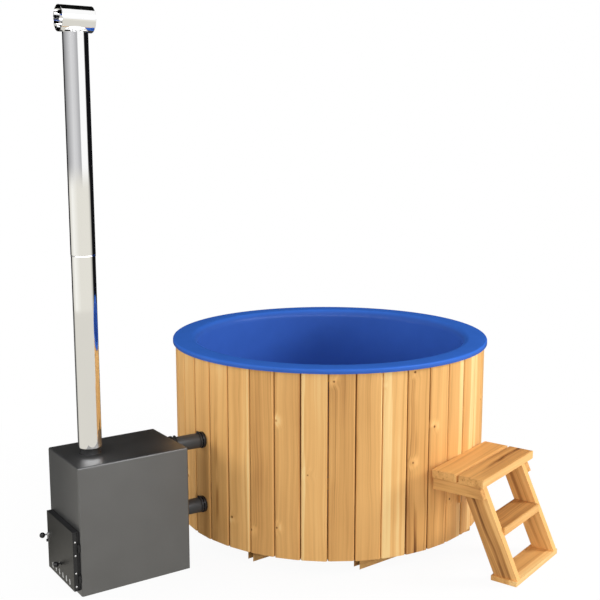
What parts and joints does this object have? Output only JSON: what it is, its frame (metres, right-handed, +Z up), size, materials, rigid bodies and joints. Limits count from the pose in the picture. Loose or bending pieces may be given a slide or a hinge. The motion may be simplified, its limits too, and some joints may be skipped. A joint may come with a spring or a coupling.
{
  "type": "wood-fired hot tub",
  "caption": "Round fibreglass tub in vertical timber boards, with an outside wood heater, a tall flue, two water pipes and timber steps.",
  "frame": {"origin": "on the ground under the centre of the round tub, on the underside of the middle joist", "axes": "+Z up; the heater stands on the -X side and the joists lie 4 degrees off the X axis; the steps stand on the -Y side, turned 19 degrees towards +X"},
  "size_m": [2.7553, 2.3071, 2.835],
  "materials": {
    "gelcoat": "glossy blue gelcoat over fibreglass",
    "cladding_timber": "planed softwood boards under a clear satin oil",
    "step_timber": "planed softwood with rounded edges under a clear oil",
    "frame_timber": "sawn softwood and plywood",
    "heater_paint": "satin dark grey heat-resistant paint",
    "black_paint": "matt black heat-resistant paint",
    "boiler_steel": "bare stainless sheet, dulled by heat",
    "cast_iron": "rough cast",
    "mirror_steel": "mirror-polished stainless tube",
    "bright_steel": "zinc-plated or bare steel",
    "hose_rubber": "smooth dark grey rubber",
    "black_plastic": "moulded black plastic",
    "grey_plastic": "grey pipe plastic",
    "valve_brass": "cast brass",
    "rope_seal": "woven heat-proof rope",
    "insulation_board": "pressed mineral board"
  },
  "bodies": {
    "tub_and_heater": {"liner": "gelcoat", "cladding_back_right": "cladding_timber", "cladding_back_left": "cladding_timber", "cladding_front_left": "cladding_timber", "cladding_front_right": "cladding_timber", "deck": "frame_timber", "joists": "frame_timber", "hoops": "frame_timber", "bench_posts": "frame_timber", "wall_fitting_upper": "black_plastic", "wall_fitting_lower": "black_plastic", "fitting_grilles": "black_plastic", "wall_rings": "black_plastic", "hose_upper": "hose_rubber", "hose_lower": "hose_rubber", "hose_clamps": "black_paint", "heater_stubs": "black_paint", "drain_body": "black_plastic", "drain_strainer": "bright_steel", "drain_pipe": "grey_plastic", "drain_valve_body": "valve_brass", "drain_outlet": "valve_brass", "heater_casing": "heater_paint", "heater_base": "heater_paint", "firebox": "boiler_steel", "grate": "cast_iron", "baffle": "cast_iron", "ash_pan": "boiler_steel", "flue_neck": "black_paint", "flue_lower": "mirror_steel", "flue_upper": "mirror_steel", "flue_cap": "mirror_steel", "door_frame": "black_paint", "door_seal": "rope_seal", "hinge_pins": "bright_steel", "step_stringers": "step_timber", "step_bearers": "step_timber", "step_plank_rear": "step_timber", "step_plank_front": "step_timber", "step_tread": "step_timber", "step_cleats": "step_timber", "step_foot": "step_timber", "step_wall_stop": "step_timber"},
    "door": {"door_pan": "heater_paint", "door_shield": "boiler_steel", "door_insulation": "insulation_board", "shield_spacers": "bright_steel", "hinge_strap": "black_paint", "hinge_bolts": "bright_steel", "slider_guides": "bright_steel"},
    "air_slider": {"air_slider": "bright_steel", "slider_knob": "black_plastic"},
    "latch": {"latch_spindle": "bright_steel", "latch_nut": "black_paint", "latch_lever": "bright_steel", "latch_ball": "black_plastic"},
    "drain_valve": {"drain_valve_ball": "bright_steel", "drain_valve_lever": "bright_steel", "drain_lever_grip": "black_plastic"}
  },
  "joints": [
    {"name": "door_hinge", "type": "hinge", "parent": "tub_and_heater", "child": "door", "pos_m": [-1.6895, -0.2695, 0.17], "axis": [0, 0, 1], "range_deg": [0, 110]},
    {"name": "latch_turn", "type": "hinge", "parent": "door", "child": "latch", "pos_m": [-1.7165, 0.076, 0.181], "axis": [1, 0, 0], "range_deg": [0, 90]},
    {"name": "air_slide", "type": "slide", "parent": "door", "child": "air_slider", "axis": [0, 1, 0], "range_m": [0, 0.0235]},
    {"name": "drain_lever_turn", "type": "hinge", "parent": "tub_and_heater", "child": "drain_valve", "pos_m": [0.925, 0.192, 0.03], "axis": [0, 0, -1], "range_deg": [0, 90]}
  ]
}
